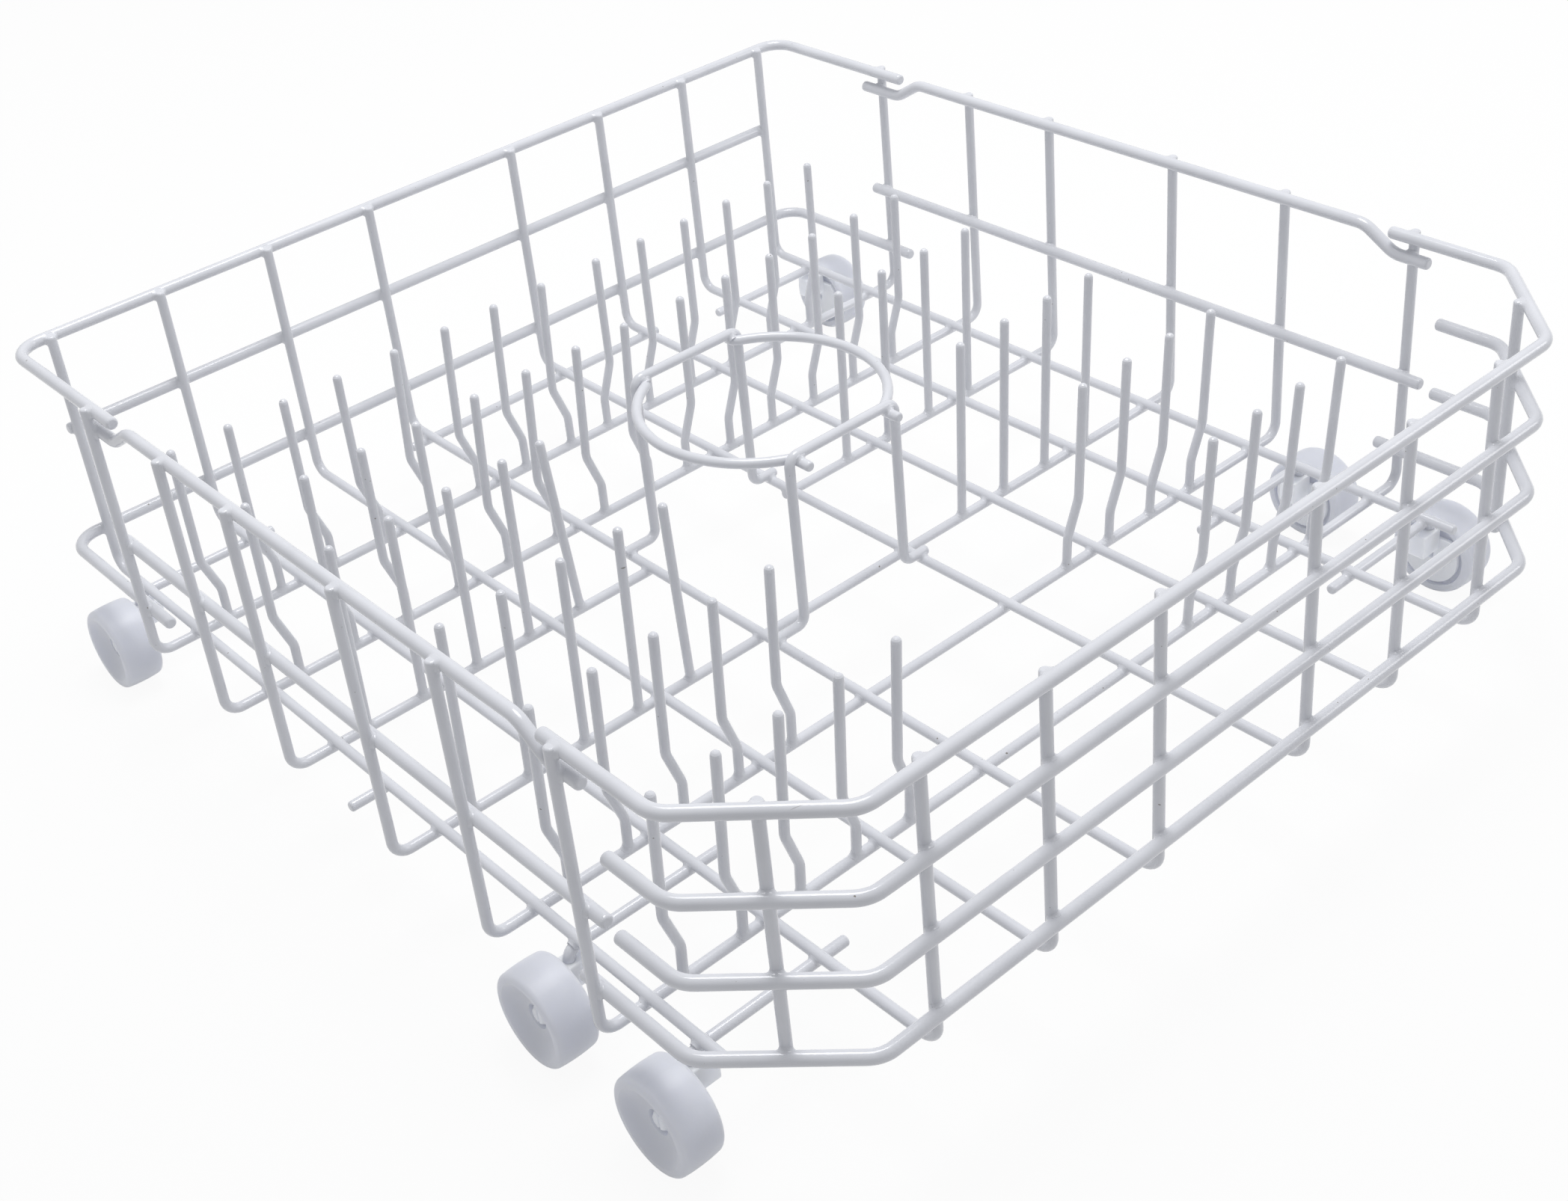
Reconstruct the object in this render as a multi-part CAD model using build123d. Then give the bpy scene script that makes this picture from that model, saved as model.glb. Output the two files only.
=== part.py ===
"""Lower dishwasher basket: coated steel wires welded into an open box, on six plastic wheels.

Millimetres. X runs across the basket, Y from its front to its back, and Z up from the wheels' feet.
"""

import math
import os

from build123d import *

# Wires, measured over their coating
FRAME_WIRE = 6.0
GRID_WIRE = 5.0
TINE_WIRE = 4.5
WELD_SINK = 1.8
WELD_GAP = 0.08
END_SOFTENING = 0.22

# The open box, between centre lines of wires
RIM_WIDTH = 500.0
RIM_DEPTH = 545.0
BASKET_DEPTH = 137.0
CORNER_CUT = 48.5
RIM_BEND = 14.0
FLOOR_BEND = 8.0
FRONT_RAIL_SHARES = (0.289, 0.563, 0.841)
BACK_RAIL_SHARES = (0.372, 0.812)
SIDE_RAIL_SHARE = 0.545

# Floor wires: shares of half the rim's depth or width
CROSS_WIRE_SHARES = (0.678, 0.421, 0.202, -0.108, -0.365, -0.634)
LONG_WIRE_SHARES = (0.188, 0.437, 0.686, 0.924)
CUT_CROSS_WIRE = 3
SHORT_WIRE_SHARE = 0.928

# Free ends of wires past the wire that they are welded to
NUB_ABOVE_RIM = 1.5
SIDE_NUB = 1.5
LONG_LEG_END = 20.0
SHORT_LEG_END = 11.0
FREE_LEG = 33.5
RAIL_END = 4.0
SIDE_RAIL_BACK_END = 8.0
SIDE_RAIL_FRONT_END = 12.0
EDGE_WIRE_END = 17.5
SHORT_WIRE_LEFT_END = 12.0
SHORT_WIRE_RIGHT_END = 10.0
SIDE_WIRE_DROP = 10.5
JOGGLE_RUN = 17.0
JOGGLE_LEAD = 3.0

# Tines
TINE_PITCH_SHARE = 0.1236
TINE_FOOT_INSET = 2.6
TINE_HEIGHT = 102.0
TINE_LEAN = 4.3
TINE_FAN = 0.0165
TINE_COLUMNS = range(-7, 7)
RING_GAP_COLUMNS = range(-2, 3)
FULL_TINE_ROWS = (1, 2)
STRAIGHT_TINE_ROWS = (3, 4)
TINE_KINK_START = 18.0
TINE_KINK_END = 38.0
TINE_KINK_SHIFT = 7.0
TINE_BEND = 13.0

# Holder ring over the middle of the floor
RING_X = 2.8
RING_Y_SHARE = 0.047
RING_RADIUS = 60.0
RING_BEND = 5.0
RING_BAR_HEIGHT = 97.0
RING_LEG_INSET = 14.0
RING_NUB = 9.0

# Wheels, their plastic mounts and the wires that carry them
WHEEL_DIAMETER = 44.0
WHEEL_WIDTH = 20.0
WHEEL_CROWN = 0.4
WHEEL_SHOULDER = 2.2
WHEEL_RECESS_RADIUS = 17.5
WHEEL_RECESS_DEPTH = 2.4
DISH_DEPTH = 4.8
HUB_RADIUS = 5.7
HUB_DEPTH = 2.8
STUD_RADIUS = 4.0
STUD_CLEARANCE = 0.05
RUNNING_GAP = 0.4
AXLE_DROP = 22.6
AXLE_Y_SHARES = {"back": 0.881, "middle": -0.468, "front": -0.748}
AXLE_BEND = 5.3
AXLE_WIRE_RUN = 80.0
SOCKET_WALL = 0.8
SOCKET_FIT = 0.05
SOCKET_FLOOR = 7.0
MOUNT_DEPTH = 13.0
MOUNT_WIDTH = 9.0
MOUNT_BOTTOM = 5.0
MOUNT_TOP = 17.5
MOUNT_SOFTENING = 0.8
FLANGE_RADIUS = 15.0
FLANGE_FLAT = 11.0
STUD_HOLE = 4.0
STUD_HOLE_DEPTH = 7.0
SNAP_LIP = 1.2
SNAP_LENGTH = 2.3
SNAP_SLIT = 1.4

# Radii and levels that follow from the sizes above
frame_r = FRAME_WIRE / 2
grid_r = GRID_WIRE / 2
half_x = RIM_WIDTH / 2
half_y = RIM_DEPTH / 2
wheel_r = WHEEL_DIAMETER / 2
cross_z = wheel_r + AXLE_DROP
grid_step = GRID_WIRE - WELD_SINK
long_z = cross_z + grid_step
rim_z = cross_z + BASKET_DEPTH
wall_step = frame_r + grid_r - WELD_SINK
wall_x = half_x + wall_step
wall_y = half_y - wall_step

# Places of the floor wires, counted from the back and from the middle
cross_y = [share * half_y for share in CROSS_WIRE_SHARES]
long_x = [share * half_x for share in LONG_WIRE_SHARES]
back_leg_y = cross_y[0] - LONG_LEG_END
front_leg_y = cross_y[-1] + SHORT_LEG_END
ring_y = RING_Y_SHARE * half_y
axle_y = {name: share * half_y for name, share in AXLE_Y_SHARES.items()}
axle_leg_x = long_x[-1] + AXLE_BEND
hub_x = WHEEL_WIDTH - DISH_DEPTH - HUB_DEPTH
mount_face_x = axle_leg_x + grid_r + SOCKET_WALL
wheel_x = mount_face_x + RUNNING_GAP
SIDES = {"left": -1, "right": 1}


def tube(route, diameter):
    """A plain round rod along a route."""
    section = Plane(origin=route @ 0, z_dir=route % 0) * Circle(diameter / 2)
    return sweep(section, path=route)


def wire_along(route, diameter):
    """A wire along its route, with both cut ends softened as the coating leaves them."""
    wire = tube(route, diameter)
    ends = wire.faces().filter_by(GeomType.PLANE)
    return chamfer(ends.edges(), END_SOFTENING * diameter)


def save(name, shape):
    export_step(shape, f"parts/{name}.step")


def save_wires(routes, diameter, seats):
    """Saves a wire for each route, coped to sit in the seats given. Returns the seats that it leaves."""
    for name, route in routes.items():
        wire = wire_along(route, diameter)
        if seats:
            wire = wire - seats
        save(name, wire)
    return [tube(route, diameter + 2 * WELD_GAP) for route in routes.values()]


def level(share):
    """Height of a rail, given as a share of the way from the rim down to the floor wires."""
    return rim_z - share * BASKET_DEPTH


# Rims and rails
def front_frame_route(z, leg_end_y):
    """Round the front, across both cut corners and a little way along the sides."""
    side_y = CORNER_CUT - half_y
    front_x = half_x - CORNER_CUT
    points = [
        (-half_x, leg_end_y, z),
        (-half_x, side_y, z),
        (-front_x, -half_y, z),
        (front_x, -half_y, z),
        (half_x, side_y, z),
        (half_x, leg_end_y, z),
    ]
    return FilletPolyline(*points, radius=RIM_BEND)


def back_frame_route(z):
    """Across the back with a leg along each side."""
    points = [
        (-half_x, back_leg_y, z),
        (-half_x, half_y, z),
        (half_x, half_y, z),
        (half_x, back_leg_y, z),
    ]
    return FilletPolyline(*points, radius=RIM_BEND)


def side_rim_route(side):
    """Along a side, kinked down at both ends to pass under the legs of the front and back rims."""
    x = side * half_x
    low_z = rim_z - SIDE_WIRE_DROP
    back_kink_y = back_leg_y + JOGGLE_LEAD
    front_kink_y = front_leg_y - JOGGLE_LEAD
    points = [
        (x, cross_y[0] + SHORT_LEG_END, low_z),
        (x, back_kink_y, low_z),
        (x, back_kink_y - JOGGLE_RUN, rim_z),
        (x, front_kink_y + JOGGLE_RUN, rim_z),
        (x, front_kink_y, low_z),
        (x, cross_y[-1] - SHORT_LEG_END, low_z),
    ]
    return FilletPolyline(*points, radius=RIM_BEND)


def make_frame():
    free_leg_y = CORNER_CUT - half_y + FREE_LEG
    rail_x = long_x[-1] + RAIL_END
    rail_z = level(BACK_RAIL_SHARES[0])
    side_z = level(SIDE_RAIL_SHARE)
    routes = {
        "rim_front": front_frame_route(rim_z, front_leg_y),
        "rim_back": back_frame_route(rim_z),
        "front_rail_upper": front_frame_route(level(FRONT_RAIL_SHARES[0]), free_leg_y),
        "front_rail_middle": front_frame_route(level(FRONT_RAIL_SHARES[1]), free_leg_y),
        "front_rail_lower": front_frame_route(level(FRONT_RAIL_SHARES[2]), front_leg_y),
        "back_rail_lower": back_frame_route(level(BACK_RAIL_SHARES[1])),
        "back_rail_upper": Line((-rail_x, half_y, rail_z), (rail_x, half_y, rail_z)),
    }
    for name, side in SIDES.items():
        back_end = (side * half_x, cross_y[0] + SIDE_RAIL_BACK_END, side_z)
        front_end = (side * half_x, cross_y[-1] - SIDE_RAIL_FRONT_END, side_z)
        routes[f"rim_{name}"] = side_rim_route(side)
        routes[f"side_rail_{name}"] = Line(back_end, front_end)
    return save_wires(routes, FRAME_WIRE, [])


# Floor wires that turn up into the walls
def cross_wire_route(y):
    """Across the floor, and up outside both side rims."""
    top_z = rim_z + SIDE_NUB
    points = [(-wall_x, y, top_z), (-wall_x, y, cross_z), (wall_x, y, cross_z), (wall_x, y, top_z)]
    return FilletPolyline(*points, radius=FLOOR_BEND)


def half_cross_wire_route(y, side):
    """One half of the cross wire that is cut in the middle, to leave a way through the floor."""
    inner_end = (side * (long_x[0] - grid_r), y, cross_z)
    corner = (side * wall_x, y, cross_z)
    top = (side * wall_x, y, rim_z + SIDE_NUB)
    return FilletPolyline(inner_end, corner, top, radius=FLOOR_BEND)


def long_wire_route(x):
    """Along the floor on top of the cross wires, and up inside the back and the front."""
    top_z = rim_z + NUB_ABOVE_RIM
    points = [(x, wall_y, top_z), (x, wall_y, long_z), (x, -wall_y, long_z), (x, -wall_y, top_z)]
    return FilletPolyline(*points, radius=FLOOR_BEND)


def edge_long_wire_route(x):
    """Like a long wire, but ended under the cut front corner."""
    end_y = axle_y["front"] - EDGE_WIRE_END
    points = [(x, wall_y, rim_z + NUB_ABOVE_RIM), (x, wall_y, long_z), (x, end_y, long_z)]
    return FilletPolyline(*points, radius=FLOOR_BEND)


def corner_post_route(side):
    """Up inside the middle of a cut front corner, from the lowest rail to above the rim."""
    inset = CORNER_CUT / 2 + wall_step / math.sqrt(2)
    x = side * (half_x - inset)
    y = inset - half_y
    low_z = level(FRONT_RAIL_SHARES[2]) - RAIL_END
    return Line((x, y, low_z), (x, y, rim_z + NUB_ABOVE_RIM))


def make_lower_wires(frame_seats):
    routes = {}
    for number, y in enumerate(cross_y, start=1):
        if number == CUT_CROSS_WIRE:
            for name, side in SIDES.items():
                routes[f"cross_wire_{number}_{name}"] = half_cross_wire_route(y, side)
        else:
            routes[f"cross_wire_{number}"] = cross_wire_route(y)
    short_y = SHORT_WIRE_SHARE * half_y
    short_start = (-long_x[0] - SHORT_WIRE_LEFT_END, short_y, cross_z)
    short_end = (long_x[1] + SHORT_WIRE_RIGHT_END, short_y, cross_z)
    routes["short_back_wire"] = Line(short_start, short_end)
    stop_outer = (-half_x, ring_y, cross_z)
    stop_inner = (-long_x[-1] + grid_r, ring_y, cross_z)
    routes["side_stop_wire"] = Line(stop_outer, stop_inner)
    return save_wires(routes, GRID_WIRE, frame_seats)


def make_upper_wires(frame_seats, lower_seats):
    routes = {}
    left_to_right = [-x for x in reversed(long_x)] + long_x
    for number, x in enumerate(left_to_right, start=1):
        route = edge_long_wire_route if abs(x) == long_x[-1] else long_wire_route
        routes[f"long_wire_{number}"] = route(x)
    for name, side in SIDES.items():
        routes[f"corner_post_{name}"] = corner_post_route(side)
    return save_wires(routes, GRID_WIRE, frame_seats + lower_seats)


# Plate tines, butt-welded to the tops of the cross wires
def tine_route(column, y, kinked):
    """Up from a cross wire, leaning to the front. A kinked tine steps outwards above its foot."""
    outward = 1 if column > 0 else -1
    foot_x = column * TINE_PITCH_SHARE * half_x - outward * TINE_FOOT_INSET
    shift = outward * TINE_KINK_SHIFT if kinked else 0
    lean = TINE_FAN * y - TINE_LEAN
    steps = [(0, 0), (TINE_KINK_START, 0), (TINE_KINK_END, shift), (TINE_HEIGHT, shift)]
    points = [(foot_x + aside, y + lean * up / TINE_HEIGHT, cross_z + up) for up, aside in steps]
    if kinked:
        return FilletPolyline(*points, radius=TINE_BEND)
    return Line(points[0], points[-1])


def tine(route, lower_seats):
    """A tine with a softened tip and a foot coped to its cross wire."""
    rod = tube(route, TINE_WIRE)
    tip = rod.faces().sort_by(Axis.Z)[-1:]
    return chamfer(tip.edges(), END_SOFTENING * TINE_WIRE) - lower_seats


def make_tines(lower_seats):
    for number, y in enumerate(cross_y, start=1):
        kinked = number not in STRAIGHT_TINE_ROWS
        tines = []
        for column in TINE_COLUMNS:
            if column in RING_GAP_COLUMNS and number not in FULL_TINE_ROWS:
                continue
            tines.append(tine(tine_route(column, y, kinked), lower_seats))
        save(f"tine_row_{number}", Compound(children=tines))


# Holder ring: two wire arcs hung under two bridge-shaped brackets
ring_leg_x = long_x[0] - RING_LEG_INSET
ring_end_x = ring_leg_x - RING_BEND
ring_turn = math.acos((ring_end_x + RING_BEND) / (RING_RADIUS + RING_BEND))
bracket_step = (RING_RADIUS + RING_BEND) * math.sin(ring_turn)
ring_bar_z = cross_z + RING_BAR_HEIGHT


def ring_bracket_route(y):
    """A bridge over the two middle floor wires, with its feet turned out on top of them."""
    foot_x = long_x[0] + RAIL_END
    foot_z = long_z + grid_step
    points = [
        (-foot_x, y, foot_z),
        (RING_X - ring_leg_x, y, foot_z),
        (RING_X - ring_leg_x, y, ring_bar_z),
        (RING_X + ring_leg_x, y, ring_bar_z),
        (RING_X + ring_leg_x, y, foot_z),
        (foot_x, y, foot_z),
    ]
    return FilletPolyline(*points, radius=RING_BEND)


def ring_arc_route(side):
    """One side of the ring, with both ends turned straight to cross under the brackets' bars."""
    turn = math.degrees(ring_turn)
    centre = Pos(RING_X, ring_y, ring_bar_z - grid_step)
    bow = CenterArc((0, 0), RING_RADIUS, -turn, 2 * turn)
    turn_x = ring_end_x + RING_BEND
    front_turn = CenterArc((turn_x, -bracket_step), RING_BEND, 180, -turn)
    back_turn = CenterArc((turn_x, bracket_step), RING_BEND, 180 + turn, -turn)
    front_end = Line((ring_end_x, -bracket_step - RING_NUB), (ring_end_x, -bracket_step))
    back_end = Line((ring_end_x, bracket_step), (ring_end_x, bracket_step + grid_r))
    route = Wire([front_end, front_turn, bow, back_turn, back_end])
    if side < 0:
        route = route.mirror(Plane.YZ)
    return centre * route


def make_ring(upper_seats):
    brackets = {
        "ring_bracket_front": ring_bracket_route(ring_y - bracket_step),
        "ring_bracket_back": ring_bracket_route(ring_y + bracket_step),
    }
    bracket_seats = save_wires(brackets, GRID_WIRE, upper_seats)
    arcs = {f"ring_arc_{name}": ring_arc_route(side) for name, side in SIDES.items()}
    save_wires(arcs, GRID_WIRE, bracket_seats)


# Wheels: made on the X axis with the inner face at zero and the outer face towards +X
def wheel():
    """A crowned roller with a dished outer face and a shallow recess inside for its mount's flange."""
    shoulder_r = wheel_r - WHEEL_CROWN
    flank_r = shoulder_r - WHEEL_SHOULDER
    bore_r = STUD_RADIUS + STUD_CLEARANCE
    dish_x = WHEEL_WIDTH - DISH_DEPTH
    far = WHEEL_WIDTH - WHEEL_SHOULDER
    back = Polyline(
        (dish_x, HUB_RADIUS),
        (hub_x, HUB_RADIUS),
        (hub_x, bore_r),
        (WHEEL_RECESS_DEPTH, bore_r),
        (WHEEL_RECESS_DEPTH, WHEEL_RECESS_RADIUS),
        (0, WHEEL_RECESS_RADIUS),
        (0, flank_r),
    )
    inner_shoulder = CenterArc((WHEEL_SHOULDER, flank_r), WHEEL_SHOULDER, 180, -90)
    tread = ThreePointArc((WHEEL_SHOULDER, shoulder_r), (WHEEL_WIDTH / 2, wheel_r), (far, shoulder_r))
    outer_shoulder = CenterArc((far, flank_r), WHEEL_SHOULDER, 90, -90)
    lip = Line((WHEEL_WIDTH, flank_r), (WHEEL_WIDTH, WHEEL_RECESS_RADIUS))
    dish = RadiusArc((WHEEL_WIDTH, WHEEL_RECESS_RADIUS), (dish_x, HUB_RADIUS), -2 * WHEEL_WIDTH)
    outline = Wire([*back.edges(), inner_shoulder, tread, outer_shoulder, lip, dish])
    return revolve(Plane.XZ * make_face(outline), Axis.X)


def axle_route():
    """The way of a short wire under two long wires, turned down at its outer end into a wheel's mount."""
    inner_end = (axle_leg_x - wheel_x - AXLE_WIRE_RUN, 0, AXLE_DROP)
    corner = (axle_leg_x - wheel_x, 0, AXLE_DROP)
    leg_end = (axle_leg_x - wheel_x, 0, SOCKET_FLOOR)
    return FilletPolyline(inner_end, corner, leg_end, radius=AXLE_BEND)


def wheel_mount():
    """The plastic clip on an axle wire's turned-down end, with the stud that the wheel turns on."""
    face = Plane.YZ
    mount_back = -RUNNING_GAP - MOUNT_DEPTH
    block_shape = Pos(0, (MOUNT_BOTTOM + MOUNT_TOP) / 2) * Rectangle(MOUNT_WIDTH, MOUNT_TOP - MOUNT_BOTTOM)
    block = extrude(face.offset(mount_back) * block_shape, MOUNT_DEPTH)
    outer_face = block.faces().sort_by(Axis.X)[-1]
    block = fillet(block.edges() - outer_face.edges(), MOUNT_SOFTENING)

    above = Pos(0, FLANGE_FLAT + FLANGE_RADIUS / 2) * Rectangle(2 * FLANGE_RADIUS, FLANGE_RADIUS)
    flange = extrude(face.offset(-RUNNING_GAP) * (Circle(FLANGE_RADIUS) - above), WHEEL_RECESS_DEPTH)

    snap_x = hub_x + RUNNING_GAP
    stud = extrude(face * Circle(STUD_RADIUS), snap_x)
    snap_foot = face.offset(snap_x) * Circle(STUD_RADIUS + SNAP_LIP)
    snap_tip = face.offset(snap_x + SNAP_LENGTH) * Circle(STUD_RADIUS - SNAP_LIP / 2)
    snap_head = loft([snap_foot, snap_tip])

    wire_seat = tube(axle_route(), GRID_WIRE + 2 * SOCKET_FIT)
    stud_hole = extrude(face.offset(-RUNNING_GAP) * Rectangle(STUD_HOLE, STUD_HOLE), STUD_HOLE_DEPTH)
    slit_x = snap_x + SNAP_LENGTH - WHEEL_WIDTH / 4
    slit = Pos(slit_x, 0, 0) * Box(WHEEL_WIDTH / 2, SNAP_SLIT, 4 * STUD_RADIUS)
    return block + flange + stud + snap_head - wire_seat - stud_hole - slit


def make_wheels():
    """Saves the wheels, their mounts and the axle wires, and returns the seats that these wires leave."""
    roller = wheel()
    clip = wheel_mount()
    carriers = {}
    for side_name, side in SIDES.items():
        for place, y in axle_y.items():
            spot = Pos(side * wheel_x, y, wheel_r) * Rot(0, 0, 0 if side > 0 else 180)
            save(f"wheel_{side_name}_{place}", spot * roller)
            save(f"wheel_mount_{side_name}_{place}", spot * clip)
            carriers[f"axle_wire_{side_name}_{place}"] = spot * axle_route()
    return save_wires(carriers, GRID_WIRE, [])


os.makedirs("parts", exist_ok=True)
frame_seats = make_frame()
axle_seats = make_wheels()
lower_seats = make_lower_wires(frame_seats)
upper_seats = make_upper_wires(frame_seats, lower_seats + axle_seats)
make_tines(lower_seats)
make_ring(upper_seats)
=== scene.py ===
"""Lower dishwasher basket: coated wires welded into an open box, plate tines, a holder ring, six wheels."""

import math

import bpy
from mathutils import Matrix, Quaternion, Vector


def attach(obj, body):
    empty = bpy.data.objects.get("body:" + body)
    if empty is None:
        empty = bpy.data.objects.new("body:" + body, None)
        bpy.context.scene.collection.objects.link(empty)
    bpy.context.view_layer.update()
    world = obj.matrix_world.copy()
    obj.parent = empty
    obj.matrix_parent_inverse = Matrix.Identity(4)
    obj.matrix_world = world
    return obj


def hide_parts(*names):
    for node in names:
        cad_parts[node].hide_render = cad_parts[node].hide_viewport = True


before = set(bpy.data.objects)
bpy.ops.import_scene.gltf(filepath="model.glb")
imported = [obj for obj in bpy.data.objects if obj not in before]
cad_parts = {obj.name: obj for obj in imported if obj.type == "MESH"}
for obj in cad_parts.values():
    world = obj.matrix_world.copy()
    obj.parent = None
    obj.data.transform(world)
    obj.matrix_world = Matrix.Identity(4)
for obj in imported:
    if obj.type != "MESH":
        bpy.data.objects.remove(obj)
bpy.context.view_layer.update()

# The rims and rails are 6 mm wire: steel bent cold to one radius, under the glossy white coating that all
# wires wear, specked and nicked in places. The front and back rims end in legs along the sides, and each
# side rim kinks down at both ends to pass under them. Sizes are in millimetres until a mesh is made.
mm = 0.001
coating_light = (0.70, 0.71, 0.75, 1)
coating_shade = (0.66, 0.67, 0.71, 1)
speck_colour = (0.22, 0.20, 0.18, 1)
blemishes = {
    "hairline_crack": ((-217.0, -259.1, 184.1), -27.0, (3.4, 0.16, 1.6), 0.45),
    "nick_on_a_tine": ((-121.6, -35.2, 126.5), -39.0, (1.4, 1.5, 0.5), 0.8),
    "speck_on_the_rim": ((-251.0, 251.9, 184.4), 0.0, (0.7, 0.7, 0.7), 0.5),
}


def shader(material, kind, **values):
    """Adds a node to a material and sets the inputs or properties that are named."""
    node = material.node_tree.nodes.new(kind)
    for name, value in values.items():
        label = name.replace("_", " ").title()
        if label in node.inputs:
            node.inputs[label].default_value = value
        else:
            setattr(node, name, value)
    return node


def blank_material(name):
    material = bpy.data.materials.new(name)
    material.use_nodes = True
    return material, material.node_tree.nodes["Principled BSDF"], material.node_tree.links.new


coating, gloss, wire_up = blank_material("white_coating")
place = shader(coating, "ShaderNodeTexCoord").outputs["Object"]
cloud = shader(coating, "ShaderNodeTexNoise", scale=38.0, detail=3.0)
tint = shader(coating, "ShaderNodeValToRGB")
tint.color_ramp.elements[0].position = 0.35
tint.color_ramp.elements[0].color = coating_shade
tint.color_ramp.elements[1].position = 0.62
tint.color_ramp.elements[1].color = coating_light
speck_field = shader(coating, "ShaderNodeTexNoise", scale=420.0, detail=1.0)
speck = shader(coating, "ShaderNodeMapRange", from_min=0.79, from_max=0.83)
worn = speck.outputs["Result"]
for label, (centre, heading, reach, depth) in blemishes.items():
    oval = shader(coating, "ShaderNodeMapping", vector_type="TEXTURE")
    oval.label = label
    oval.inputs["Location"].default_value = [part * mm for part in centre]
    oval.inputs["Rotation"].default_value = (0, 0, math.radians(heading))
    oval.inputs["Scale"].default_value = [part * mm for part in reach]
    distance = shader(coating, "ShaderNodeVectorMath", operation="LENGTH")
    inside = shader(coating, "ShaderNodeMapRange", from_min=1.0, from_max=0.6, to_max=depth)
    either = shader(coating, "ShaderNodeMath", operation="MAXIMUM")
    wire_up(place, oval.inputs["Vector"])
    wire_up(oval.outputs["Vector"], distance.inputs[0])
    wire_up(distance.outputs["Value"], inside.inputs["Value"])
    wire_up(inside.outputs["Result"], either.inputs[0])
    wire_up(worn, either.inputs[1])
    worn = either.outputs["Value"]
stained = shader(coating, "ShaderNodeMix", data_type="RGBA")
stained.inputs["B"].default_value = speck_colour
peel = shader(coating, "ShaderNodeTexNoise", scale=700.0, detail=2.0)
sag = shader(coating, "ShaderNodeTexNoise", scale=90.0, detail=1.0)
sheen = shader(coating, "ShaderNodeMapRange", to_min=0.12, to_max=0.19)
peel_bump = shader(coating, "ShaderNodeBump", strength=0.03, distance=0.0001)
sag_bump = shader(coating, "ShaderNodeBump", strength=0.05, distance=0.0004)
for texture in (cloud, speck_field, peel, sag):
    wire_up(place, texture.inputs["Vector"])
wire_up(cloud.outputs["Fac"], tint.inputs["Fac"])
wire_up(speck_field.outputs["Fac"], speck.inputs["Value"])
wire_up(tint.outputs["Color"], stained.inputs["A"])
wire_up(worn, stained.inputs["Factor"])
wire_up(stained.outputs["Result"], gloss.inputs["Base Color"])
wire_up(sag.outputs["Fac"], sheen.inputs["Value"])
wire_up(sheen.outputs["Result"], gloss.inputs["Roughness"])
wire_up(sag.outputs["Fac"], sag_bump.inputs["Height"])
wire_up(peel.outputs["Fac"], peel_bump.inputs["Height"])
wire_up(sag_bump.outputs["Normal"], peel_bump.inputs["Normal"])
wire_up(peel_bump.outputs["Normal"], gloss.inputs["Normal"])
gloss.inputs["IOR"].default_value = 1.5

wire_sides, bend_steps = 20, 9
flank_corners = 4
end_turns = (30, 55, 76)
square_rounding = 0.45


def node_tree(name, inputs):
    """An empty geometry tree with named inputs: the tree, its two ends and the inputs' identifiers."""
    tree = bpy.data.node_groups.new(name, "GeometryNodeTree")
    tree.interface.new_socket("Geometry", in_out="INPUT", socket_type="NodeSocketGeometry")
    tree.interface.new_socket("Geometry", in_out="OUTPUT", socket_type="NodeSocketGeometry")
    identifiers = {}
    for label, kind in inputs.items():
        socket = tree.interface.new_socket(label, in_out="INPUT", socket_type="NodeSocket" + kind)
        identifiers[label] = socket.identifier
    return tree, tree.nodes.new("NodeGroupInput"), tree.nodes.new("NodeGroupOutput"), identifiers


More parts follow.
